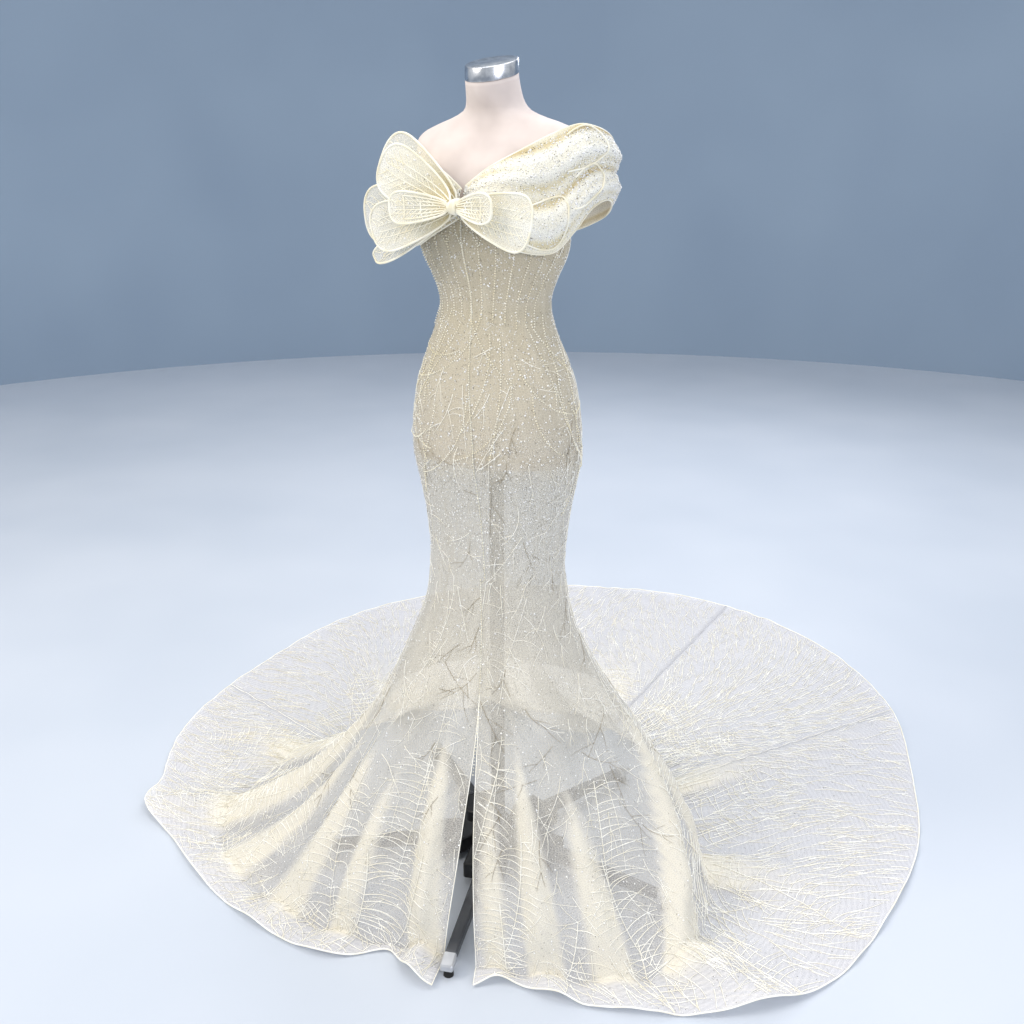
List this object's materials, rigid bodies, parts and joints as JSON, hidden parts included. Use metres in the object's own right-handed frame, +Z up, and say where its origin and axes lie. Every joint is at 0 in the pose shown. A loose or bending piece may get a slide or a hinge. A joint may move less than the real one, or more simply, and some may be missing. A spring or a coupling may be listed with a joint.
{
  "type": "mermaid gown on a dress form",
  "caption": "Off-shoulder mermaid gown of sheer beaded tulle with a petal bow, front slit and long round train, on a limbless dress form with a low star base.",
  "frame": {"origin": "middle of the whole footprint, on the floor", "axes": "+Z up, -Y is the front of the gown, +X is the wearer's left"},
  "size_m": [2.0426, 2.146, 1.7621],
  "materials": {
    "beaded_tulle": "sheer beaded tulle",
    "champagne_lining": "plain woven",
    "corded_organza": "sheer, with corded rims",
    "form_jersey": "fine knit",
    "chrome": "polished",
    "grey_steel": "satin",
    "black_plastic": "matte",
    "silver_plastic": "satin",
    "rubber": "matte"
  },
  "bodies": {
    "root": {"panel_front_right": "beaded_tulle", "panel_front_left": "beaded_tulle", "panel_back_right": "beaded_tulle", "panel_back_left": "beaded_tulle", "lining": "champagne_lining", "drape_left": "corded_organza", "drape_right": "corded_organza", "bow_knot": "corded_organza", "petal_right_upper_back": "corded_organza", "petal_right_side_back": "corded_organza", "petal_right_tail": "corded_organza", "petal_right_lower": "corded_organza", "petal_right_upper_front": "corded_organza", "petal_right_loop": "corded_organza", "petal_left_lower": "corded_organza", "petal_left_loop": "corded_organza", "form_torso": "form_jersey", "neck_cap": "chrome", "pole": "grey_steel", "base_hub": "black_plastic", "leg_socket_1": "black_plastic", "leg_1": "grey_steel", "leg_cap_1": "silver_plastic", "foot_1": "rubber", "leg_socket_2": "black_plastic", "leg_2": "grey_steel", "leg_cap_2": "silver_plastic", "foot_2": "rubber", "leg_socket_3": "black_plastic", "leg_3": "grey_steel", "leg_cap_3": "silver_plastic", "foot_3": "rubber", "leg_socket_4": "black_plastic", "leg_4": "grey_steel", "leg_cap_4": "silver_plastic", "foot_4": "rubber", "leg_socket_5": "black_plastic", "leg_5": "grey_steel", "leg_cap_5": "silver_plastic", "foot_5": "rubber"}
  },
  "joints": []
}
